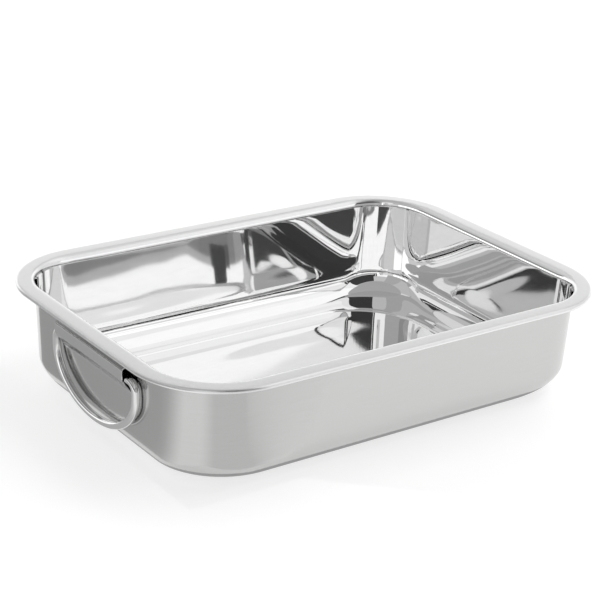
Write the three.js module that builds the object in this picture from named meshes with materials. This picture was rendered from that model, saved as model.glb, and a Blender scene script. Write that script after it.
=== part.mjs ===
// Deep roasting pan pressed from one stainless sheet, with a drop handle at each end.
// Millimetres, +Z up, X along the pan, origin in the middle of the face it rests on.

import * as THREE from 'three';

// Pan shell
const RIM_LENGTH = 400;
const RIM_WIDTH = 292;
const PAN_HEIGHT = 87;
const SHEET = 0.8;
const RIM_CORNER = 68;
const RIM_LIP = 3.2;
const RIM_EDGE_BEND = 2.2;
const RIM_OVERHANG = 16.4;
const SHOULDER_BEND = 6;
const WALL_DRAFT = THREE.MathUtils.degToRad(2);
const WALL_CORNER = 45;
const FLOOR_BEND = 23.5;
const FLOOR_CORNER = 66;
const PANEL_END_INSET = 48;
const PANEL_SIDE_INSET = 44.4;
const PANEL_CORNER = 60;
const PANEL_DROP = 1;
const PANEL_RUN = 2;

// Handles
const WIRE = 6;
const HINGE_DROP = 22;
const BAIL_SPREAD = 115;
const BAIL_DROP = 48.2;
const BAIL_ARM = 11;
const BAIL_NECK_BEND = 7;
const BAIL_TAIL = 36;
const END_PLAY = 1.5;
const NECK_DIP = 0.2;

// Sleeve brackets
const BRACKET_SHEET = 0.8;
const BRACKET_BEND = 0.8;
const KNEE_BEND = 2;
const TOP_BEND = 2.2;
const SLOPE = THREE.MathUtils.degToRad(34);
const HEADROOM = 5.2;
const FRONT_ROOM = 0.7;
const UPPER_FLANGE = 2.6;
const LOWER_FLANGE = 1.4;
const SEAT_GAP = 0.3;
const WIRE_CLEARANCE = 0.5;

// Fineness of the curves
const CORNER_STEPS = 12;
const EDGE_STEPS = 4;
const SHOULDER_STEPS = 8;
const FLOOR_BEND_STEPS = 8;
const PANEL_STEPS = 4;
const WIRE_SIDES = 12;
const WIRE_STEPS = 144;
const FOLD_STEPS = 6;

const QUARTER = Math.PI / 2;
const HALF_LENGTH = RIM_LENGTH / 2;
const HALF_WIDTH = RIM_WIDTH / 2;

// The wall's outer face leans in below the shoulder.
const SHOULDER_CENTRE_Z = PAN_HEIGHT - SHOULDER_BEND;
const WALL_TOP_Z = SHOULDER_CENTRE_Z + (SHOULDER_BEND - SHEET) * Math.sin(WALL_DRAFT);

function wallInset(z) {
  return RIM_OVERHANG + (WALL_TOP_Z - z) * Math.tan(WALL_DRAFT);
}

function mix(a, b, t) {
  return a + (b - a) * t;
}

// One level of the pan's upper face: a rounded rectangle, and the way into the sheet from it.
function level(inset, corner, z, out, up) {
  return { x: HALF_LENGTH - inset, y: HALF_WIDTH - inset, corner, z, out, up };
}

function rimLevels() {
  const levels = [level(0, RIM_CORNER, PAN_HEIGHT - RIM_LIP, -1, 0)];
  const bendZ = PAN_HEIGHT - RIM_EDGE_BEND;
  for (let i = 0; i <= EDGE_STEPS; i += 1) {
    const turn = (QUARTER * i) / EDGE_STEPS;
    const inset = RIM_EDGE_BEND * (1 - Math.cos(turn));
    const z = bendZ + RIM_EDGE_BEND * Math.sin(turn);
    levels.push(level(inset, RIM_CORNER - inset, z, -Math.cos(turn), -Math.sin(turn)));
  }
  return levels;
}

// The shoulder rolls from the flat rim into the wall while its corners tighten.
function shoulderLevels() {
  const levels = [];
  const startInset = RIM_OVERHANG - (SHOULDER_BEND - SHEET) * Math.cos(WALL_DRAFT);
  const startCorner = RIM_CORNER - startInset;
  for (let i = 0; i <= SHOULDER_STEPS; i += 1) {
    const turn = ((QUARTER - WALL_DRAFT) * i) / SHOULDER_STEPS;
    const reach = Math.sin(turn) / Math.cos(WALL_DRAFT);
    const inset = startInset + SHOULDER_BEND * Math.sin(turn);
    const corner = mix(startCorner, WALL_CORNER - SHEET, reach);
    const z = SHOULDER_CENTRE_Z + SHOULDER_BEND * Math.cos(turn);
    levels.push(level(inset, corner, z, Math.sin(turn), -Math.cos(turn)));
  }
  return levels;
}

// The wall rolls into the floor while its corners open out.
function floorBendLevels() {
  const levels = [];
  const radius = FLOOR_BEND - SHEET;
  const centreZ = PANEL_DROP + SHEET + radius;
  const wallEndZ = centreZ - FLOOR_BEND * Math.sin(WALL_DRAFT);
  const centreInset = wallInset(wallEndZ) + FLOOR_BEND * Math.cos(WALL_DRAFT);
  for (let i = 0; i <= FLOOR_BEND_STEPS; i += 1) {
    const turn = mix(WALL_DRAFT, QUARTER, i / FLOOR_BEND_STEPS);
    const inset = centreInset - radius * Math.cos(turn);
    const opened = 1 - Math.cos(turn) / Math.cos(WALL_DRAFT);
    const corner = mix(WALL_CORNER - SHEET, FLOOR_CORNER, opened);
    const z = centreZ - radius * Math.sin(turn);
    levels.push(level(inset, corner, z, Math.cos(turn), -Math.sin(turn)));
  }
  return levels;
}

// The middle of the floor is pressed down by a soft step, so the pan stands on it.
function panelLevels() {
  const levels = [];
  for (let i = 0; i <= PANEL_STEPS; i += 1) {
    const part = i / PANEL_STEPS;
    const run = PANEL_RUN * part;
    const fall = PANEL_DROP * (1 - Math.cos(Math.PI * part)) / 2;
    levels.push({
      x: HALF_LENGTH - PANEL_END_INSET + PANEL_RUN - run,
      y: HALF_WIDTH - PANEL_SIDE_INSET + PANEL_RUN - run,
      corner: PANEL_CORNER + PANEL_RUN - run,
      z: PANEL_DROP + SHEET - fall,
      out: 0,
      up: -1,
    });
  }
  return levels;
}

function ring(x, y, corner, z) {
  const points = [];
  const corners = [[1, 1], [-1, 1], [-1, -1], [1, -1]];
  corners.forEach(([sideX, sideY], quarter) => {
    for (let i = 0; i <= CORNER_STEPS; i += 1) {
      const angle = QUARTER * (quarter + i / CORNER_STEPS);
      const px = sideX * (x - corner) + corner * Math.cos(angle);
      const py = sideY * (y - corner) + corner * Math.sin(angle);
      points.push(new THREE.Vector3(px, py, z));
    }
  });
  return points;
}

function upperRing(at) {
  return ring(at.x, at.y, at.corner, at.z);
}

function underRing(at) {
  const grow = at.out * SHEET;
  return ring(at.x + grow, at.y + grow, at.corner + grow, at.z + at.up * SHEET);
}

// Skin a stack of equal rings and close both ends on the middle.
function loft(rings) {
  const count = rings[0].length;
  const points = rings.flat();
  const index = [];
  for (let i = 0; i < rings.length - 1; i += 1) {
    for (let j = 0; j < count; j += 1) {
      const next = (j + 1) % count;
      const a = i * count + j;
      const b = i * count + next;
      const c = (i + 1) * count + next;
      const d = (i + 1) * count + j;
      index.push(a, b, c, a, c, d);
    }
  }
  const first = points.length;
  const last = first + 1;
  const lastRing = (rings.length - 1) * count;
  points.push(new THREE.Vector3(0, 0, rings[0][0].z));
  points.push(new THREE.Vector3(0, 0, rings[rings.length - 1][0].z));
  for (let j = 0; j < count; j += 1) {
    const next = (j + 1) % count;
    index.push(first, next, j);
    index.push(last, lastRing + j, lastRing + next);
  }
  const geometry = new THREE.BufferGeometry().setFromPoints(points);
  geometry.setIndex(index);
  geometry.computeVertexNormals();
  return geometry;
}

function panGeometry() {
  const levels = [
    ...rimLevels(),
    ...shoulderLevels(),
    ...floorBendLevels(),
    ...panelLevels(),
  ];
  const under = levels.map(underRing).reverse();
  const upper = levels.map(upperRing);
  return loft([...under, ...upper]);
}

// Sleeve section in the wall's own plane: u out of the wall, w up it, the wire's axis at w = 0.
const WIRE_U = WIRE / 2 + WIRE_CLEARANCE;

// The middle line of the folded strip: flange, web, face, a slope that carries the wire, flange.
function sleeveCorners() {
  const half = BRACKET_SHEET / 2;
  const flangeU = SEAT_GAP + half;
  const faceU = WIRE_U + WIRE / 2 + FRONT_ROOM + half;
  const webW = WIRE / 2 + HEADROOM + half;
  const reach = WIRE / 2 + SEAT_GAP + half;
  const slopeW = (u) => ((u - WIRE_U) * Math.cos(SLOPE) - reach) / Math.sin(SLOPE);
  return [
    new THREE.Vector2(flangeU, webW + UPPER_FLANGE),
    new THREE.Vector2(flangeU, webW),
    new THREE.Vector2(faceU, webW),
    new THREE.Vector2(faceU, slopeW(faceU)),
    new THREE.Vector2(flangeU, slopeW(flangeU)),
    new THREE.Vector2(flangeU, slopeW(flangeU) - LOWER_FLANGE),
  ];
}

// A strip of even thickness folded along a line of corners, each with its own bend radius on the inside.
function foldedStrip(corners, bends, sheet) {
  const left = [];
  const right = [];
  const station = (at, heading) => {
    const across = new THREE.Vector2(-heading.y, heading.x).multiplyScalar(sheet / 2);
    left.push(at.clone().add(across));
    right.push(at.clone().sub(across));
  };
  const heading = (i) => corners[i + 1].clone().sub(corners[i]).normalize();
  const last = corners.length - 1;
  station(corners[0], heading(0));
  for (let i = 1; i < last; i += 1) {
    const before = heading(i - 1);
    const turn = Math.atan2(before.cross(heading(i)), before.dot(heading(i)));
    const radius = bends[i - 1] + sheet / 2;
    const start = corners[i].clone().addScaledVector(before, -radius * Math.tan(Math.abs(turn) / 2));
    const inward = new THREE.Vector2(-before.y, before.x).multiplyScalar(Math.sign(turn) * radius);
    const centre = start.clone().add(inward);
    for (let j = 0; j <= FOLD_STEPS; j += 1) {
      const part = (turn * j) / FOLD_STEPS;
      station(start.clone().rotateAround(centre, part), before.clone().rotateAround(new THREE.Vector2(), part));
    }
  }
  station(corners[last], heading(last - 1));
  return new THREE.Shape([...right, ...left.reverse()]);
}

// The left end's wall frame, level with the wire's axis, which lies HINGE_DROP below the rim.
const WALL_OUT = new THREE.Vector3(-Math.cos(WALL_DRAFT), 0, -Math.sin(WALL_DRAFT));
const WALL_UP = new THREE.Vector3(-Math.sin(WALL_DRAFT), 0, Math.cos(WALL_DRAFT));
const ALONG = new THREE.Vector3(0, 1, 0);
const SEAT_Z = PAN_HEIGHT - HINGE_DROP + WIRE_U * Math.sin(WALL_DRAFT);
const SEAT = new THREE.Vector3(wallInset(SEAT_Z) - HALF_LENGTH, 0, SEAT_Z);
const HINGE = SEAT.clone().addScaledVector(WALL_OUT, WIRE_U);

// The bail has play along its sleeve, and hangs slid until its far neck dips on the sleeve's end.
const ARM_Y = BAIL_SPREAD / 2;
const NECK_Y = ARM_Y - BAIL_NECK_BEND;
const SLEEVE_LENGTH = 2 * (NECK_Y - END_PLAY);
const BAIL_SLIDE = END_PLAY + Math.sqrt(NECK_DIP * (2 * BAIL_NECK_BEND - NECK_DIP));

function bracketGeometry() {
  const bends = [BRACKET_BEND, TOP_BEND, KNEE_BEND, BRACKET_BEND];
  const section = foldedStrip(sleeveCorners(), bends, BRACKET_SHEET);
  const geometry = new THREE.ExtrudeGeometry(section, { depth: SLEEVE_LENGTH, bevelEnabled: false });
  geometry.translate(0, 0, -SLEEVE_LENGTH / 2);
  const place = new THREE.Matrix4().makeBasis(WALL_OUT, WALL_UP, ALONG);
  place.setPosition(SEAT);
  return geometry.applyMatrix4(place);
}

// A flat path of lines and bends, stood up in the plane across the pan.
class StandingPath extends THREE.Curve {
  constructor(flat) {
    super();
    this.flat = flat;
  }

  getPoint(t, target = new THREE.Vector3()) {
    const point = this.flat.getPoint(t);
    return target.set(0, point.x, point.y);
  }
}

// Two tails, two necks, two short arms and a half ellipse for the bow.
function bailPath() {
  const tailY = NECK_Y - BAIL_TAIL;
  const bowDepth = BAIL_DROP - BAIL_ARM;
  const flat = new THREE.Path();
  flat.moveTo(-tailY, 0);
  flat.lineTo(-NECK_Y, 0);
  flat.absarc(-NECK_Y, -BAIL_NECK_BEND, BAIL_NECK_BEND, QUARTER, Math.PI, false);
  flat.lineTo(-ARM_Y, -BAIL_ARM);
  flat.absellipse(0, -BAIL_ARM, ARM_Y, bowDepth, Math.PI, 2 * Math.PI, false, 0);
  flat.lineTo(ARM_Y, -BAIL_NECK_BEND);
  flat.absarc(NECK_Y, -BAIL_NECK_BEND, BAIL_NECK_BEND, 0, QUARTER, false);
  flat.lineTo(tailY, 0);
  return new StandingPath(flat);
}

function bailGeometry() {
  const section = new THREE.Shape();
  section.absarc(0, 0, WIRE / 2, 0, 2 * Math.PI, false);
  const options = { steps: WIRE_STEPS, extrudePath: bailPath(), curveSegments: WIRE_SIDES / 2 };
  const geometry = new THREE.ExtrudeGeometry(section, options);
  return geometry.translate(HINGE.x, HINGE.y, HINGE.z);
}

function hung(bail) {
  return bail.translate(0, -BAIL_SLIDE, 0);
}

function steel(color, roughness) {
  return new THREE.MeshStandardMaterial({ color, roughness, metalness: 1 });
}

function named(name, geometry, material) {
  const mesh = new THREE.Mesh(geometry, material);
  mesh.name = name;
  return mesh;
}

const roastingPan = new THREE.Group();
roastingPan.name = 'roasting_pan';
roastingPan.add(named('pan_shell', panGeometry(), steel(0xd2d4d6, 0.12)));
roastingPan.add(named('bracket_left', bracketGeometry(), steel(0xc4c6c8, 0.25)));
roastingPan.add(named('bracket_right', bracketGeometry().rotateZ(Math.PI), steel(0xc4c6c8, 0.25)));
roastingPan.add(named('bail_left', hung(bailGeometry()), steel(0xd6d7d9, 0.15)));
roastingPan.add(named('bail_right', hung(bailGeometry().rotateZ(Math.PI)), steel(0xd6d7d9, 0.15)));

export default roastingPan;
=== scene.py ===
"""Looks for a stainless roasting pan with a wire drop handle at each end.

Smooth dense skins stand for the faceted solids. Sizes are the solids' own, in millimetres, and each
mesh is scaled to metres as it is made. X runs along the pan, Z up, origin under the floor's middle.
"""

import math

import bpy
from mathutils import Matrix, Vector


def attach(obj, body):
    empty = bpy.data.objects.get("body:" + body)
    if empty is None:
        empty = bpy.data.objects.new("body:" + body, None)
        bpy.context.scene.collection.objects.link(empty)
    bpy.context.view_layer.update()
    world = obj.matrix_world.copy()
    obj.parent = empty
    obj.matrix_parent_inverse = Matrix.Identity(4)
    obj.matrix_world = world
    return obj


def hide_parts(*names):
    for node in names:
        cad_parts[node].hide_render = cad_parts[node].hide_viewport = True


MM = 0.001
QUARTER = math.pi / 2

# Pan shell
RIM_LENGTH = 400.0
RIM_WIDTH = 292.0
PAN_HEIGHT = 87.0
SHEET = 0.8
RIM_CORNER = 68.0
RIM_LIP = 3.2
RIM_EDGE_BEND = 2.2
RIM_OVERHANG = 16.4
SHOULDER_BEND = 6.0
WALL_DRAFT = math.radians(2.0)
WALL_CORNER = 45.0
FLOOR_BEND = 23.5
FLOOR_CORNER = 66.0
PANEL_END_INSET = 48.0
PANEL_SIDE_INSET = 44.4
PANEL_CORNER = 60.0
PANEL_DROP = 1.0
PANEL_RUN = 2.0

# Handles
WIRE = 6.0
HINGE_DROP = 22.0
BAIL_SPREAD = 115.0
BAIL_DROP = 48.2
BAIL_ARM = 11.0
BAIL_NECK_BEND = 7.0
BAIL_TAIL = 36.0
END_PLAY = 1.5
NECK_DIP = 0.2

# Sleeve brackets
BRACKET_SHEET = 0.8
BRACKET_BEND = 0.8
KNEE_BEND = 2.0
TOP_BEND = 2.2
SLOPE = math.radians(34.0)
HEADROOM = 5.2
FRONT_ROOM = 0.7
UPPER_FLANGE = 2.6
LOWER_FLANGE = 1.4
SEAT_GAP = 0.3
WIRE_CLEARANCE = 0.5

# Fineness of the skins
HEM_STEPS = 8
LIP_STEPS = 6
EDGE_BEND_STEPS = 12
FLANGE_STEPS = 4
SHOULDER_STEPS = 28
SATIN_SHOULDER_STEPS = 16
WALL_STEPS = 18
FLOOR_BEND_STEPS = 32
FLOOR_RING_STEPS = 6
FLOOR_STEP_STEPS = 12
PANEL_STEPS = 14
CORNER_STEPS = 28
LONG_SIDE_STEPS = 44
SHORT_SIDE_STEPS = 30
FOLD_STEPS = 12
SLEEVE_STEPS = 24
TAIL_STEPS = 10
NECK_STEPS = 16
BOW_STEPS = 60
WIRE_SIDES = 40
EDGE_ROUND = 0.15
WIRE_CHAMFER = 0.5
SLEEVE_SHARP = math.radians(40)
WIRE_SHARP = math.radians(35)

# Finish: shares by which the grain varies the tone and the roughness
TONE_SPREAD = 0.03
FINISH_SPREAD = 0.15
BRUSHED = 0.7
BRUSHED_TURN = 0.25

# Slight bow and waves of the polished walls, in millimetres. WAVE_FULL_AT counts heights of the floor bend.
WALL_LEAN = 1.24
WALL_BOW = 1.26
WALL_WAVE = 0.3
WALL_WAVE_SCALE = (17.0, 17.0, 10.0)
WALL_WAVE_PLACE = (0.3, 0.0, 0.0)
WAVE_FULL_AT = 1.6

# Waves of the satin outside, in metres
OUTER_WAVE = 0.0001
OUTER_WAVE_SCALE = 12.0

# Camera, fitted to the photograph's outlines
VIEW_AZIMUTH = math.radians(-36.136)
VIEW_ELEVATION = math.radians(22.092)
VIEW_ROLL = math.radians(2.577)
VIEW_DISTANCE = 1370.56
VIEW_TARGET = Vector((0.876, 8.873, 65.946))
FOCAL_PIXELS = 1766.72
IMAGE_PIXELS = 600.0
SENSOR_WIDTH = 36.0
VIEW_END = 100.0

# Stage, in metres, with angles in degrees: azimuth 0 in front and 90 to the right
WHITE = (1.0, 1.0, 1.0, 1.0)
FLOOR_HALF = 3.0
FLOOR_TONE = (0.38, 0.38, 0.38, 1.0)
FLOOR_ROUGHNESS = 0.5
FLOOR_GLOW = 0.68
WORLD_LIGHT = 0.4
WORLD_SEEN = 1.0
LAMP_PLACE = (1.06, -0.29, 1.9)
LAMP_TARGET = (0, 0, 0.05)
LAMP_SIZE = 1.4
LAMP_POWER = 18.0
CARD_REACH = 12.0
CARD_TOP = 66
CARD_TONE = (0.02, 0.02, 0.02, 1.0)
CARD_ROUGHNESS = 0.9
CARD_FACET = 8
CEILING_LIGHT = 0.38
BASE_SHADE_LIGHT = 0.42
END_STRIP_LIGHT = 0.25
END_STRIP_AWAY = 0.05
END_STRIP_Y = (-0.17, 0.27)
END_STRIP_Z = (0.07, 0.108)
FLAG_SPAN = (-168, 45)
FLAG_MIDDLE = -45
FLAG_FACETS = 40
FLAG_NEAR = 0.046
FLAG_FAR = 1.2

# Light of the painted floor shade, a grey fan that stands in for the floor's shade beside the pan: azimuth
# and light
FLOOR_SHADE_LIGHT = (
    (-160, 0.42),
    (-125, 0.48),
    (-110, 0.55),
    (-98, 0.68),
    (-88, 0.82),
    (-78, 0.93),
    (-50, 0.93),
    (-42, 0.86),
    (-30, 0.73),
    (20, 0.73),
    (34, 0.9),
    (44, 0.96),
)

# Stage pieces that lie by the pan, in millimetres
FLAG_HEIGHT = 0.5
BASE_SHADE_HEIGHT = 0.4
BASE_SHADE_INSET = RIM_OVERHANG + 8.0
BASE_SHADE_END = 3.0
BASE_SHADE_SIDE = 1.5

# Cards round the set: name, azimuths, elevations and light
CARDS = (
    ("dark_front", (-28, 27), (24.1, 62), 0.02),
    ("front_band", (-28, 27), (22.4, 24.1), 0.92),
    ("front_low", (-20, 27), (0, 22.4), 0.4),
    ("front_low_mid", (-35.5, -20), (0, 22), 0.45),
    ("front_low_left", (-39, -35.5), (0, 22), 1.2),
    ("lens", (-44.6, -42.4), (22.4, 24.4), 0.02),
    ("lens_under", (-44.6, -42.4), (18, 22.4), 0.6),
    ("lens_over", (-44.6, -42.4), (24.4, 27), 0.6),
    ("lens_left", (-49, -44.6), (18, 27), 0.6),
    ("lens_right", (-42.4, -39), (18, 27), 0.95),
    ("lens_low", (-49, -39), (0, 18), 0.5),
    ("strip_left", (-60, -49), (22.2, 36), 1.0),
    ("strip_right", (-39, -35.5), (22, 36), 1.0),
    ("dark_left", (-35.5, -32.5), (22, 36), 0.03),
    ("thin_strip", (-32.5, -31.5), (22, 36), 1.0),
    ("dark_mid", (-31.5, -28), (22, 36), 0.03),
    ("strip_over", (-49, -39), (27, 36), 1.0),
    ("front_left", (-60, -28), (36, 62), 0.55),
    ("front_top", (-60, 27), (62, 66), 0.4),
    ("window", (27, 44), (23.8, 32), 1.15),
    ("window_band", (27, 44), (22, 23.8), 0.92),
    ("window_mid", (27, 44), (18, 22), 1.15),
    ("window_low", (27, 44), (0, 18), 0.75),
    ("window_top", (27, 44), (32, 66), 0.92),
    ("right_wall", (44, 104), (0, 36), 0.78),
    ("right_wall_top", (44, 104), (36, 47), 1.0),
    ("softbox", (44, 112), (47, 66), 1.06),
    ("back_low", (104, 180), (0, 21.8), 1.3),
    ("back_edge", (104, 180), (21.8, 22.6), 0.55),
    ("back_mid", (112, 180), (22.6, 30), 0.28),
    ("back_high", (112, 180), (30, 66), 0.7),
    ("back_right", (104, 112), (22.6, 47), 0.6),
    ("left_back_low", (-180, -155), (0, 21.8), 1.3),
    ("left_back_edge", (-180, -155), (21.8, 22.6), 0.55),
    ("left_back_mid", (-180, -155), (22.6, 30), 0.25),
    ("left_back_high", (-180, -155), (30, 66), 0.7),
    ("left_low", (-155, -112), (0, 19.4), 1.3),
    ("left_low_back", (-155, -151), (19.4, 21.7), 1.3),
    ("left_low_front", (-122, -112), (19.4, 21.9), 1.3),
    ("left_gap", (-151, -122), (19.4, 24), 0.06),
    ("left_gap_back", (-155, -151), (21.7, 24), 0.12),
    ("left_gap_front", (-122, -112), (21.9, 24), 0.12),
    ("left_mid", (-155, -112), (24, 30), 0.25),
    ("left_high", (-155, -112), (30, 66), 0.5),
    ("left_side_low", (-112, -72), (0, 22.2), 1.3),
    ("left_side_mid", (-112, -95), (22.2, 30), 0.28),
    ("left_side_high", (-112, -95), (30, 66), 0.5),
    ("left_front_high", (-95, -60), (22.2, 66), 0.4),
    ("left_front_low", (-72, -49), (0, 22.2), 0.7),
)

HALF_LENGTH = RIM_LENGTH / 2
HALF_WIDTH = RIM_WIDTH / 2
SHOULDER_CENTRE_Z = PAN_HEIGHT - SHOULDER_BEND
WALL_TOP_Z = SHOULDER_CENTRE_Z + (SHOULDER_BEND - SHEET) * math.sin(WALL_DRAFT)

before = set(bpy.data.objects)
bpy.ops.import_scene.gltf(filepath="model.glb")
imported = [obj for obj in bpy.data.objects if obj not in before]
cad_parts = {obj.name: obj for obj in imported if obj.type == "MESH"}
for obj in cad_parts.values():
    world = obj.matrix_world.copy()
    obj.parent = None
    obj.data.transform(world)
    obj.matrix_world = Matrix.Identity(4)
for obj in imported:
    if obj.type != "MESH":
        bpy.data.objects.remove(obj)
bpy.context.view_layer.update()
scene = bpy.context.scene


def mix(a, b, t):
    return a + (b - a) * t


def wall_inset(z):
    """How far the wall's outer face lies in from the rim's edge at a height."""
    return RIM_OVERHANG + (WALL_TOP_Z - z) * math.tan(WALL_DRAFT)


def steps(first, last, count):
    """count + 1 even values from first to last."""
    return [mix(first, last, i / count) for i in range(count + 1)]


# The pan's upper face is a run of levels: half length, half width, corner, height, and the way into
# the sheet.


def level(inset, corner, z, out, up):
    return (HALF_LENGTH - inset, HALF_WIDTH - inset, corner, z, out, up)


def rim_levels():
    levels = []
    lip_z = PAN_HEIGHT - RIM_LIP
    bend_z = PAN_HEIGHT - RIM_EDGE_BEND
    for z in steps(lip_z + SHEET / 2, bend_z, LIP_STEPS)[:-1]:
        levels.append(level(0.0, RIM_CORNER, z, -1.0, 0.0))
    for turn in steps(0.0, QUARTER, EDGE_BEND_STEPS):
        inset = RIM_EDGE_BEND * (1 - math.cos(turn))
        z = bend_z + RIM_EDGE_BEND * math.sin(turn)
        levels.append(level(inset, RIM_CORNER - inset, z, -math.cos(turn), -math.sin(turn)))
    return levels


def shoulder_levels():
    levels = []
    start_inset = RIM_OVERHANG - (SHOULDER_BEND - SHEET) * math.cos(WALL_DRAFT)
    start_corner = RIM_CORNER - start_inset
    for inset in steps(RIM_EDGE_BEND, start_inset, FLANGE_STEPS)[1:-1]:
        levels.append(level(inset, RIM_CORNER - inset, PAN_HEIGHT, 0.0, -1.0))
    for turn in steps(0.0, QUARTER - WALL_DRAFT, SHOULDER_STEPS):
        inset = start_inset + SHOULDER_BEND * math.sin(turn)
        reach = math.sin(turn) / math.cos(WALL_DRAFT)
        corner = mix(start_corner, WALL_CORNER - SHEET, reach)
        z = SHOULDER_CENTRE_Z + SHOULDER_BEND * math.cos(turn)
        levels.append(level(inset, corner, z, math.sin(turn), -math.cos(turn)))
    return levels


def wall_levels(top, bottom):
    """The straight wall between the shoulder's last level and the floor bend's first."""
    levels = []
    for part in steps(0.0, 1.0, WALL_STEPS)[1:-1]:
        levels.append(tuple(mix(a, b, part) for a, b in zip(top, bottom)))
    return levels


def floor_bend_levels():
    levels = []
    radius = FLOOR_BEND - SHEET
    centre_z = PANEL_DROP + SHEET + radius
    wall_end_z = centre_z - FLOOR_BEND * math.sin(WALL_DRAFT)
    centre_inset = wall_inset(wall_end_z) + FLOOR_BEND * math.cos(WALL_DRAFT)
    for turn in steps(WALL_DRAFT, QUARTER, FLOOR_BEND_STEPS):
        inset = centre_inset - radius * math.cos(turn)
        opened = 1 - math.cos(turn) / math.cos(WALL_DRAFT)
        corner = mix(WALL_CORNER - SHEET, FLOOR_CORNER, opened)
        z = centre_z - radius * math.sin(turn)
        levels.append(level(inset, corner, z, math.cos(turn), -math.sin(turn)))
    return levels


def panel_level(run, z):
    x = HALF_LENGTH - PANEL_END_INSET + PANEL_RUN - run
    y = HALF_WIDTH - PANEL_SIDE_INSET + PANEL_RUN - run
    return (x, y, PANEL_CORNER + PANEL_RUN - run, z, 0.0, -1.0)


def floor_levels(edge):
    """From the end of the floor bend over the flat ring, down the step and in to the middle."""
    levels = []
    ring_z = PANEL_DROP + SHEET
    ring_end = panel_level(0.0, ring_z)
    for part in steps(0.0, 1.0, FLOOR_RING_STEPS)[1:-1]:
        levels.append(tuple(mix(a, b, part) for a, b in zip(edge, ring_end)))
    for part in steps(0.0, 1.0, FLOOR_STEP_STEPS):
        fall = PANEL_DROP * (1 - math.cos(math.pi * part)) / 2
        levels.append(panel_level(PANEL_RUN * part, ring_z - fall))
    x, y, corner, z, out, up = levels[-1]
    for share in steps(1.0, 0.0, PANEL_STEPS)[1:-1]:
        levels.append((x * share, y * share, corner * share, z, out, up))
    return levels


def ring(x, y, corner, z):
    """A rounded rectangle, anticlockwise from above, with its straight sides cut up too."""
    points = []
    sides = [(1, 1, LONG_SIDE_STEPS), (-1, 1, SHORT_SIDE_STEPS)]
    sides += [(-1, -1, LONG_SIDE_STEPS), (1, -1, SHORT_SIDE_STEPS)]
    for quarter, (side_x, side_y, _) in enumerate(sides):
        for i in range(CORNER_STEPS + 1):
            angle = QUARTER * (quarter + i / CORNER_STEPS)
            px = side_x * (x - corner) + corner * math.cos(angle)
            py = side_y * (y - corner) + corner * math.sin(angle)
            points.append((px, py, z))
    full = []
    run = CORNER_STEPS + 1
    for quarter, (_, _, side_steps) in enumerate(sides):
        arc = points[quarter * run:(quarter + 1) * run]
        full.extend(arc)
        start = arc[-1]
        end = points[((quarter + 1) * run) % len(points)]
        for part in steps(0.0, 1.0, side_steps)[1:-1]:
            full.append(tuple(mix(a, b, part) for a, b in zip(start, end)))
    return full


def sheet_ring(at, depth):
    """The ring at a share of the sheet's thickness below a level's upper face."""
    x, y, corner, z, out, up = at
    grow = out * SHEET * depth
    return ring(x + grow, y + grow, corner + grow, z + up * SHEET * depth)


def hem_rings(at):
    """The round cut edge under the turned-down lip, from the inner face to the outer one."""
    x, y, corner, z, _, _ = at
    rings = []
    for turn in steps(0.0, math.pi, HEM_STEPS)[1:-1]:
        inset = SHEET / 2 * (1 + math.cos(turn))
        rings.append(ring(x - inset, y - inset, corner - inset, z - SHEET / 2 * math.sin(turn)))
    return rings


def make_object(name, points, faces):
    mesh = bpy.data.meshes.new(name)
    mesh.from_pydata([Vector(p) * MM for p in points], [], faces)
    mesh.validate()
    mesh.shade_smooth()
    piece = bpy.data.objects.new(name, mesh)
    scene.collection.objects.link(piece)
    return piece


def loft_faces(ring_count, size):
    """Quads over a stack of rings, then a fan at each end on two added middle points."""
    faces = []
    for i in range(ring_count - 1):
        for j in range(size):
            k = (j + 1) % size
            faces.append((i * size + j, i * size + k, (i + 1) * size + k, (i + 1) * size + j))
    first = ring_count * size
    top = (ring_count - 1) * size
    for j in range(size):
        k = (j + 1) % size
        faces.append((first, k, j))
        faces.append((first + 1, top + j, top + k))
    return faces


def make_pan():
    rim = rim_levels()
    shoulder = shoulder_levels()
    bend = floor_bend_levels()
    levels = rim + shoulder + wall_levels(shoulder[-1], bend[0]) + bend + floor_levels(bend[-1])
    under = [sheet_ring(at, 1.0) for at in reversed(levels)]
    upper = [sheet_ring(at, 0.0) for at in levels]
    hem = hem_rings(levels[0])
    rings = under + hem + upper
    points = [p for one in rings for p in one]
    points.append((0.0, 0.0, rings[0][0][2]))
    points.append((0.0, 0.0, rings[-1][0][2]))
    size = len(rings[0])
    pan = make_object("pan_skin", points, loft_faces(len(rings), size))
    rim_start = (len(under) + len(hem)) * size
    inside_start = rim_start + (len(rim) + FLANGE_STEPS - 1 + SATIN_SHOULDER_STEPS) * size
    finishes = []
    for face in pan.data.polygons:
        lowest = min(face.vertices[:])
        finishes.append(int(lowest >= rim_start) + int(lowest >= inside_start))
    pan.data.polygons.foreach_set("material_index", finishes)
    return pan


# The left end's wall frame, level with the wire's axis, which lies HINGE_DROP below the rim.
WIRE_U = WIRE / 2 + WIRE_CLEARANCE
WALL_OUT = Vector((-math.cos(WALL_DRAFT), 0, -math.sin(WALL_DRAFT)))
WALL_UP = Vector((-math.sin(WALL_DRAFT), 0, math.cos(WALL_DRAFT)))
SEAT_Z = PAN_HEIGHT - HINGE_DROP + WIRE_U * math.sin(WALL_DRAFT)
SEAT = Vector((wall_inset(SEAT_Z) - HALF_LENGTH, 0, SEAT_Z))
HINGE = SEAT + WALL_OUT * WIRE_U
ARM_Y = BAIL_SPREAD / 2
NECK_Y = ARM_Y - BAIL_NECK_BEND
SLEEVE_LENGTH = 2 * (NECK_Y - END_PLAY)
BAIL_SLIDE = END_PLAY + math.sqrt(NECK_DIP * (2 * BAIL_NECK_BEND - NECK_DIP))


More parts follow.
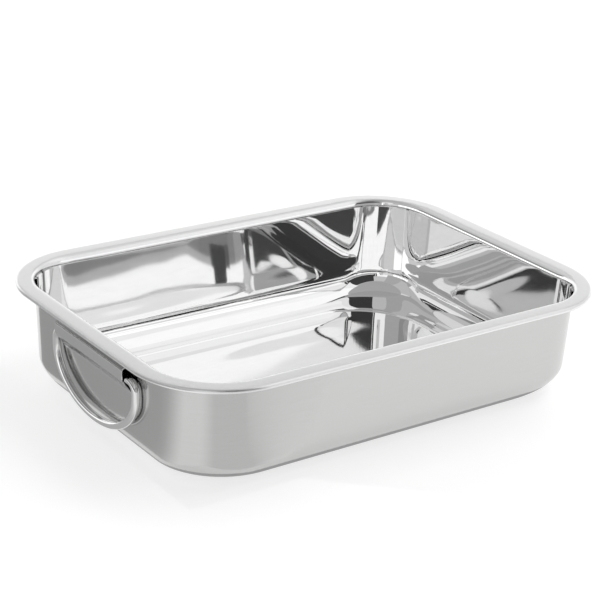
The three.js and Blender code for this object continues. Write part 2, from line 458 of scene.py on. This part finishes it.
def slope_height(u):
    """Height of the sleeve's slope on the middle of its sheet, measured from the wire's axis."""
    reach = WIRE / 2 + SEAT_GAP + BRACKET_SHEET / 2
    return ((u - WIRE_U) * math.cos(SLOPE) - reach) / math.sin(SLOPE)


def sleeve_line():
    """Points and headings along the middle of the folded strip: flange, web, face, slope, flange."""
    half = BRACKET_SHEET / 2
    flange = SEAT_GAP + half
    face = WIRE_U + WIRE / 2 + FRONT_ROOM + half
    web = WIRE / 2 + HEADROOM + half
    corners = [Vector((flange, web + UPPER_FLANGE)), Vector((flange, web)), Vector((face, web))]
    corners += [Vector((face, slope_height(face))), Vector((flange, slope_height(flange)))]
    corners += [Vector((flange, slope_height(flange) - LOWER_FLANGE))]
    bends = [BRACKET_BEND, TOP_BEND, KNEE_BEND, BRACKET_BEND]
    line = [(corners[0], (corners[1] - corners[0]).normalized())]
    for i, bend in enumerate(bends, 1):
        before = (corners[i] - corners[i - 1]).normalized()
        after = (corners[i + 1] - corners[i]).normalized()
        turn = math.atan2(before.cross(after), before.dot(after))
        radius = bend + half
        start = corners[i] - before * radius * math.tan(abs(turn) / 2)
        centre = start + Vector((-before.y, before.x)) * math.copysign(radius, turn)
        for part in steps(0.0, turn, FOLD_STEPS):
            spin = Matrix.Rotation(part, 2)
            line.append((centre + spin @ (start - centre), spin @ before))
    line.append((corners[-1], (corners[-1] - corners[-2]).normalized()))
    return line


def sleeve_section(trim):
    """The strip's outline, out of the wall and up it, drawn in by a trim where its cut edges are rounded."""
    half = BRACKET_SHEET / 2 - trim
    line = sleeve_line()
    first, down = line[0]
    line[0] = (first + down * trim, down)
    last, away = line[-1]
    line[-1] = (last - away * trim, away)
    left = []
    right = []
    for at, heading in line:
        across = Vector((-heading.y, heading.x)) * half
        left.append(at + across)
        right.append(at - across)
    return right + left[::-1]


def make_sleeve(name, turn):
    half = SLEEVE_LENGTH / 2
    stations = [(-half, EDGE_ROUND), (-half + EDGE_ROUND, 0.0)]
    stations += [(y, 0.0) for y in steps(-half + EDGE_ROUND, half - EDGE_ROUND, SLEEVE_STEPS)[1:-1]]
    stations += [(half - EDGE_ROUND, 0.0), (half, EDGE_ROUND)]
    points = []
    for y, trim in stations:
        for at in sleeve_section(trim):
            points.append(turn @ (SEAT + WALL_OUT * at.x + WALL_UP * at.y + Vector((0, y, 0))))
    size = len(sleeve_section(0.0))
    faces = []
    for i in range(len(stations) - 1):
        for j in range(size):
            k = (j + 1) % size
            faces.append((i * size + j, i * size + k, (i + 1) * size + k, (i + 1) * size + j))
    faces.append(tuple(reversed(range(size))))
    faces.append(tuple(range((len(stations) - 1) * size, len(stations) * size)))
    sleeve = make_object(name, points, faces)
    sleeve.data.set_sharp_from_angle(angle=SLEEVE_SHARP)
    return sleeve


def bail_route():
    """Points and directions along the wire, in the plane across the pan, from one free end to the other."""
    tail_y = NECK_Y - BAIL_TAIL
    bow_depth = BAIL_DROP - BAIL_ARM
    half = [(tail_y, 0.0, 1.0, 0.0)]
    half += [(y, 0.0, 1.0, 0.0) for y in steps(tail_y + WIRE_CHAMFER, NECK_Y, TAIL_STEPS)[:-1]]
    for a in steps(QUARTER, 0.0, NECK_STEPS):
        y = NECK_Y + BAIL_NECK_BEND * math.cos(a)
        z = BAIL_NECK_BEND * (math.sin(a) - 1)
        half.append((y, z, math.sin(a), -math.cos(a)))
    for a in steps(0.0, -QUARTER, BOW_STEPS):
        across = ARM_Y * math.sin(a)
        down = -bow_depth * math.cos(a)
        pace = math.hypot(across, down)
        y = ARM_Y * math.cos(a)
        z = bow_depth * math.sin(a) - BAIL_ARM
        half.append((y, z, across / pace, down / pace))
    mirrored = [(-y, z, dy, -dz) for y, z, dy, dz in reversed(half[:-1])]
    return half + mirrored


def make_bail(name, turn):
    """The wire swept along its route, its two free ends chamfered."""
    route = bail_route()
    count = len(route)
    slid = Vector((0, -BAIL_SLIDE, 0))
    points = []
    for i, (y, z, dy, dz) in enumerate(route):
        radius = WIRE / 2
        if i in (0, count - 1):
            radius -= WIRE_CHAMFER
        for j in range(WIRE_SIDES):
            a = 2 * math.pi * j / WIRE_SIDES
            side = radius * math.cos(a)
            over = radius * math.sin(a)
            point = Vector((side, y - dz * over, z + dy * over))
            points.append(turn @ (HINGE + point) + slid)
    faces = []
    for i in range(count - 1):
        for j in range(WIRE_SIDES):
            k = (j + 1) % WIRE_SIDES
            a = i * WIRE_SIDES
            b = (i + 1) * WIRE_SIDES
            faces.append((a + j, b + j, b + k, a + k))
    faces.append(tuple(range(WIRE_SIDES)))
    faces.append(tuple(reversed(range((count - 1) * WIRE_SIDES, count * WIRE_SIDES))))
    bail = make_object(name, points, faces)
    bail.data.set_sharp_from_angle(angle=WIRE_SHARP)
    return bail


# Materials


def new_material(name):
    material = bpy.data.materials.new(name)
    material.use_nodes = True
    nodes = material.node_tree.nodes
    shader = nodes["Principled BSDF"]
    return material, nodes, material.node_tree.links, shader


def steel(name, color, roughness, grain, grain_scale):
    """Stainless steel with fine polishing grain, its depth in metres, and a finish that varies a little."""
    material, nodes, links, shader = new_material(name)
    shader.inputs["Metallic"].default_value = 1.0
    coords = nodes.new("ShaderNodeTexCoord")
    stretch = nodes.new("ShaderNodeMapping")
    stretch.inputs["Scale"].default_value = grain_scale
    fine = nodes.new("ShaderNodeTexNoise")
    fine.inputs["Scale"].default_value = 1.0
    fine.inputs["Detail"].default_value = 4.0
    links.new(coords.outputs["Object"], stretch.inputs["Vector"])
    links.new(stretch.outputs["Vector"], fine.inputs["Vector"])
    tint = nodes.new("ShaderNodeMapRange")
    tint.inputs["To Min"].default_value = 1 - TONE_SPREAD
    tint.inputs["To Max"].default_value = 1 + TONE_SPREAD
    links.new(fine.outputs["Fac"], tint.inputs["Value"])
    shade = nodes.new("ShaderNodeVectorMath")
    shade.operation = "SCALE"
    shade.inputs[0].default_value = color
    links.new(tint.outputs["Result"], shade.inputs["Scale"])
    links.new(shade.outputs["Vector"], shader.inputs["Base Color"])
    finish = nodes.new("ShaderNodeMapRange")
    finish.inputs["To Min"].default_value = roughness * (1 - FINISH_SPREAD)
    finish.inputs["To Max"].default_value = roughness * (1 + FINISH_SPREAD)
    links.new(fine.outputs["Fac"], finish.inputs["Value"])
    links.new(finish.outputs["Result"], shader.inputs["Roughness"])
    polish = nodes.new("ShaderNodeBump")
    polish.name = "polish"
    polish.inputs["Strength"].default_value = 1.0
    polish.inputs["Distance"].default_value = grain
    links.new(fine.outputs["Fac"], polish.inputs["Height"])
    links.new(polish.outputs["Normal"], shader.inputs["Normal"])
    return material


def press_waves(material, depth, scale):
    """Slow waves from the press under the grain."""
    nodes = material.node_tree.nodes
    links = material.node_tree.links
    coords = nodes.new("ShaderNodeTexCoord")
    slow = nodes.new("ShaderNodeTexNoise")
    slow.inputs["Scale"].default_value = scale
    slow.inputs["Detail"].default_value = 1.0
    press = nodes.new("ShaderNodeBump")
    press.inputs["Strength"].default_value = 1.0
    press.inputs["Distance"].default_value = depth
    links.new(coords.outputs["Object"], slow.inputs["Vector"])
    links.new(slow.outputs["Fac"], press.inputs["Height"])
    links.new(press.outputs["Normal"], nodes["polish"].inputs["Normal"])


def bow_walls(material):
    """The drawn walls bow in a little towards the top and are slightly wavy, in mm; the floor isn't."""
    nodes = material.node_tree.nodes
    links = material.node_tree.links
    coords = nodes.new("ShaderNodeTexCoord")
    apart = nodes.new("ShaderNodeSeparateXYZ")
    links.new(coords.outputs["Object"], apart.inputs["Vector"])
    foot = (FLOOR_BEND + PANEL_DROP) * MM
    rise = nodes.new("ShaderNodeMapRange")
    rise.inputs["From Min"].default_value = foot
    rise.inputs["From Max"].default_value = WALL_TOP_Z * MM
    links.new(apart.outputs["Z"], rise.inputs["Value"])
    growth = nodes.new("ShaderNodeMath")
    growth.operation = "MULTIPLY_ADD"
    growth.inputs[1].default_value = WALL_BOW
    growth.inputs[2].default_value = WALL_LEAN
    links.new(rise.outputs["Result"], growth.inputs[0])
    profile = nodes.new("ShaderNodeMath")
    profile.operation = "MULTIPLY"
    links.new(rise.outputs["Result"], profile.inputs[0])
    links.new(growth.outputs["Value"], profile.inputs[1])
    share = nodes.new("ShaderNodeMapRange")
    share.interpolation_type = "SMOOTHSTEP"
    share.inputs["From Min"].default_value = foot
    share.inputs["From Max"].default_value = WAVE_FULL_AT * foot
    share.inputs["To Max"].default_value = WALL_WAVE
    links.new(apart.outputs["Z"], share.inputs["Value"])
    place = nodes.new("ShaderNodeMapping")
    place.inputs["Location"].default_value = WALL_WAVE_PLACE
    place.inputs["Scale"].default_value = WALL_WAVE_SCALE
    links.new(coords.outputs["Object"], place.inputs["Vector"])
    noise = nodes.new("ShaderNodeTexNoise")
    noise.inputs["Scale"].default_value = 1.0
    noise.inputs["Detail"].default_value = 0.5
    links.new(place.outputs["Vector"], noise.inputs["Vector"])
    height = nodes.new("ShaderNodeMath")
    height.operation = "MULTIPLY_ADD"
    links.new(noise.outputs["Fac"], height.inputs[0])
    links.new(share.outputs["Result"], height.inputs[1])
    links.new(profile.outputs["Value"], height.inputs[2])
    bump = nodes.new("ShaderNodeBump")
    bump.inputs["Strength"].default_value = 1.0
    bump.inputs["Distance"].default_value = MM
    links.new(height.outputs["Value"], bump.inputs["Height"])
    links.new(bump.outputs["Normal"], nodes["polish"].inputs["Normal"])


POLISHED = steel("polished_inside", (0.88, 0.88, 0.88), 0.03, 0.0000004, (60.0, 60.0, 400.0))
bow_walls(POLISHED)
RIM_STEEL = steel("satin_rim", (0.88, 0.88, 0.88), 0.32, 0.0000005, (300.0, 300.0, 300.0))
SATIN = steel("satin_outside", (0.59, 0.59, 0.585), 0.14, 0.0000005, (40.0, 40.0, 900.0))
press_waves(SATIN, OUTER_WAVE, OUTER_WAVE_SCALE)
SATIN_SHADER = SATIN.node_tree.nodes["Principled BSDF"]
SATIN_SHADER.inputs["Anisotropic"].default_value = BRUSHED
SATIN_SHADER.inputs["Anisotropic Rotation"].default_value = BRUSHED_TURN
SLEEVE_STEEL = steel("sleeve_sheet", (0.62, 0.62, 0.62), 0.12, 0.000001, (900.0, 60.0, 900.0))
WIRE_STEEL = steel("drawn_wire", (0.78, 0.78, 0.78), 0.08, 0.0000005, (900.0, 120.0, 900.0))

pan = make_pan()
pan.data.materials.append(SATIN)
pan.data.materials.append(RIM_STEEL)
pan.data.materials.append(POLISHED)
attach(pan, "pan")
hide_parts("pan_shell")

SAME_END = Matrix.Identity(3)
FAR_END = Matrix.Rotation(math.pi, 3, "Z")
for side, turn in (("left", SAME_END), ("right", FAR_END)):
    sleeve = make_sleeve(f"sleeve_{side}", turn)
    sleeve.data.materials.append(SLEEVE_STEEL)
    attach(sleeve, "pan")
    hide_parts(f"bracket_{side}")
    bail = make_bail(f"handle_{side}", turn)
    bail.data.materials.append(WIRE_STEEL)
    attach(bail, f"{side}_handle")
    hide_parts(f"bail_{side}")


# Stage


def seen_rays(nodes, links):
    """1 for rays from the camera, a mirror or glass, and 0 for the rest."""
    path = nodes.new("ShaderNodeLightPath")
    seen = nodes.new("ShaderNodeMath")
    seen.operation = "MAXIMUM"
    through = nodes.new("ShaderNodeMath")
    through.operation = "MAXIMUM"
    links.new(path.outputs["Is Camera Ray"], seen.inputs[0])
    links.new(path.outputs["Is Glossy Ray"], seen.inputs[1])
    links.new(seen.outputs["Value"], through.inputs[0])
    links.new(path.outputs["Is Transmission Ray"], through.inputs[1])
    return through.outputs["Value"]


def make_floor():
    mesh = bpy.data.meshes.new("floor")
    size = FLOOR_HALF
    corners = [(-size, -size, 0), (size, -size, 0), (size, size, 0), (-size, size, 0)]
    mesh.from_pydata(corners, [], [(0, 1, 2, 3)])
    floor = bpy.data.objects.new("floor", mesh)
    scene.collection.objects.link(floor)
    material, nodes, links, shader = new_material("floor_paper")
    shader.inputs["Base Color"].default_value = FLOOR_TONE
    shader.inputs["Roughness"].default_value = FLOOR_ROUGHNESS
    shader.inputs["Emission Color"].default_value = WHITE
    glow = nodes.new("ShaderNodeMath")
    glow.operation = "MULTIPLY"
    glow.inputs[1].default_value = FLOOR_GLOW
    links.new(seen_rays(nodes, links), glow.inputs[0])
    links.new(glow.outputs["Value"], shader.inputs["Emission Strength"])
    mesh.materials.append(material)


def make_world():
    world = bpy.data.worlds.new("studio")
    scene.world = world
    world.use_nodes = True
    nodes = world.node_tree.nodes
    links = world.node_tree.links
    background = nodes["Background"]
    background.inputs["Color"].default_value = WHITE
    strength = nodes.new("ShaderNodeMapRange")
    strength.inputs["To Min"].default_value = WORLD_LIGHT
    strength.inputs["To Max"].default_value = WORLD_SEEN
    links.new(seen_rays(nodes, links), strength.inputs["Value"])
    links.new(strength.outputs["Result"], background.inputs["Strength"])


def make_lamp():
    """The key lamp, which lights the floor and makes the shadow. The metal mirrors the cards instead."""
    data = bpy.data.lights.new("key", "AREA")
    data.shape = "RECTANGLE"
    data.size = LAMP_SIZE
    data.size_y = LAMP_SIZE
    data.energy = LAMP_POWER
    lamp = bpy.data.objects.new("key", data)
    lamp.location = LAMP_PLACE
    lamp.visible_glossy = False
    aim = Vector(LAMP_TARGET) - Vector(LAMP_PLACE)
    lamp.rotation_euler = aim.to_track_quat("-Z", "Y").to_euler()
    scene.collection.objects.link(lamp)


def make_camera():
    flat = math.cos(VIEW_ELEVATION)
    back = Vector((math.sin(VIEW_AZIMUTH) * flat, -math.cos(VIEW_AZIMUTH) * flat, math.sin(VIEW_ELEVATION)))
    side = Vector((0, 0, 1)).cross(back).normalized()
    up = back.cross(side)
    turned_side = side * math.cos(VIEW_ROLL) + up * math.sin(VIEW_ROLL)
    turned_up = up * math.cos(VIEW_ROLL) - side * math.sin(VIEW_ROLL)
    data = bpy.data.cameras.new("photo_view")
    data.sensor_fit = "HORIZONTAL"
    data.sensor_width = SENSOR_WIDTH
    data.lens = FOCAL_PIXELS / IMAGE_PIXELS * SENSOR_WIDTH
    data.clip_end = VIEW_END
    camera = bpy.data.objects.new("photo_view", data)
    place = Matrix((turned_side, turned_up, back)).transposed().to_4x4()
    place.translation = (VIEW_TARGET + back * VIEW_DISTANCE) * MM
    camera.matrix_world = place
    scene.collection.objects.link(camera)
    scene.camera = camera


def stage_mesh(name, corners, faces):
    """A mesh of the set, hidden from the camera so that only the metal sees it."""
    mesh = bpy.data.meshes.new(name)
    mesh.from_pydata(corners, [], faces)
    card = bpy.data.objects.new(name, mesh)
    card.visible_camera = False
    scene.collection.objects.link(card)
    material, nodes, links, shader = new_material(name + "_face")
    shader.inputs["Base Color"].default_value = CARD_TONE
    shader.inputs["Roughness"].default_value = CARD_ROUGHNESS
    shader.inputs["Emission Color"].default_value = WHITE
    mesh.materials.append(material)
    return card, nodes, links, shader


def make_card(name, azimuths, elevations, light):
    """A bent card round the pan, between two azimuths and two elevations."""
    count = max(1, round((azimuths[1] - azimuths[0]) / CARD_FACET))
    corners = []
    for azimuth in steps(azimuths[0], azimuths[1], count):
        heading = math.radians(azimuth)
        for elevation in elevations:
            height = CARD_REACH * math.tan(math.radians(elevation))
            corners.append((CARD_REACH * math.sin(heading), -CARD_REACH * math.cos(heading), height))
    faces = [(2 * i, 2 * i + 2, 2 * i + 3, 2 * i + 1) for i in range(count)]
    _, _, _, shader = stage_mesh(name, corners, faces)
    shader.inputs["Emission Strength"].default_value = light


def make_ceiling():
    height = CARD_REACH * math.tan(math.radians(CARD_TOP))
    size = CARD_REACH
    corners = [(-size, -size, height), (-size, size, height), (size, size, height), (size, -size, height)]
    _, _, _, shader = stage_mesh("ceiling", corners, [(0, 1, 2, 3)])
    shader.inputs["Emission Strength"].default_value = CEILING_LIGHT


def make_painted_floor_shade():
    """Painted shade: a grey fan on the floor by the near corner, darkest at the left end, that stands in for
    the floor's shade beside the pan. The satin outside mirrors it.
    """
    reach = WALL_CORNER + RIM_OVERHANG
    middle = Vector((reach - HALF_LENGTH, reach - HALF_WIDTH, FLAG_HEIGHT)) * MM
    first, last = FLAG_SPAN
    corners = []
    for azimuth in steps(first, last, FLAG_FACETS):
        heading = math.radians(azimuth)
        away = Vector((math.sin(heading), -math.cos(heading), 0))
        near = -FLAG_NEAR / (away.x if azimuth < FLAG_MIDDLE else away.y)
        corners += [middle + away * near, middle + away * FLAG_FAR]
    faces = [(2 * i, 2 * i + 1, 2 * i + 3, 2 * i + 2) for i in range(FLAG_FACETS)]
    floor_shade, nodes, links, shader = stage_mesh("painted_floor_shade", corners, faces)
    floor_shade.visible_diffuse = False
    floor_shade.visible_shadow = False
    coords = nodes.new("ShaderNodeTexCoord")
    place = nodes.new("ShaderNodeVectorMath")
    place.operation = "SUBTRACT"
    place.inputs[1].default_value = middle
    apart = nodes.new("ShaderNodeSeparateXYZ")
    turn = nodes.new("ShaderNodeMath")
    turn.operation = "ARCTAN2"
    back = nodes.new("ShaderNodeMath")
    back.operation = "MULTIPLY"
    back.inputs[1].default_value = -1.0
    share = nodes.new("ShaderNodeMapRange")
    share.inputs["From Min"].default_value = math.radians(first)
    share.inputs["From Max"].default_value = math.radians(last)
    ramp = nodes.new("ShaderNodeValToRGB")
    for azimuth, light in FLOOR_SHADE_LIGHT:
        stop = ramp.color_ramp.elements.new((azimuth - first) / (last - first))
        stop.color = (light, light, light, 1.0)
    ramp.color_ramp.elements.remove(ramp.color_ramp.elements[0])
    ramp.color_ramp.elements.remove(ramp.color_ramp.elements[-1])
    links.new(coords.outputs["Object"], place.inputs[0])
    links.new(place.outputs["Vector"], apart.inputs["Vector"])
    links.new(apart.outputs["X"], turn.inputs[0])
    links.new(apart.outputs["Y"], back.inputs[0])
    links.new(back.outputs["Value"], turn.inputs[1])
    links.new(turn.outputs["Value"], share.inputs["Value"])
    links.new(share.outputs["Result"], ramp.inputs["Fac"])
    links.new(ramp.outputs["Color"], shader.inputs["Emission Strength"])


def make_base_shade():
    """The dark gap under the rounded edge of the floor, as the metal sees it."""
    inner_x = HALF_LENGTH - PANEL_END_INSET + BASE_SHADE_END
    inner_y = HALF_WIDTH - PANEL_SIDE_INSET + BASE_SHADE_SIDE
    outer_x = HALF_LENGTH - BASE_SHADE_INSET
    outer_y = HALF_WIDTH - BASE_SHADE_INSET
    inner = ring(inner_x, inner_y, FLOOR_CORNER, BASE_SHADE_HEIGHT)
    outer = ring(outer_x, outer_y, WALL_CORNER, BASE_SHADE_HEIGHT)
    size = len(inner)
    corners = [Vector(p) * MM for p in inner + outer]
    faces = [(j, size + j, size + (j + 1) % size, (j + 1) % size) for j in range(size)]
    shade, _, _, shader = stage_mesh("base_shade", corners, faces)
    shade.visible_diffuse = False
    shade.visible_shadow = False
    shader.inputs["Emission Strength"].default_value = BASE_SHADE_LIGHT


def make_end_strip():
    """A low grey strip beside the left end, which the rim's turned-down edge and the sleeve mirror."""
    x = -HALF_LENGTH * MM - END_STRIP_AWAY
    near, far = END_STRIP_Y
    low, high = END_STRIP_Z
    corners = [(x, near, low), (x, far, low), (x, far, high), (x, near, high)]
    strip, _, _, shader = stage_mesh("end_strip", corners, [(0, 1, 2, 3)])
    strip.visible_diffuse = False
    strip.visible_shadow = False
    shader.inputs["Emission Strength"].default_value = END_STRIP_LIGHT


make_floor()
make_world()
make_camera()
make_lamp()
for card in CARDS:
    make_card(*card)
make_ceiling()
make_painted_floor_shade()
make_base_shade()
make_end_strip()

scene.view_settings.view_transform = "Standard"
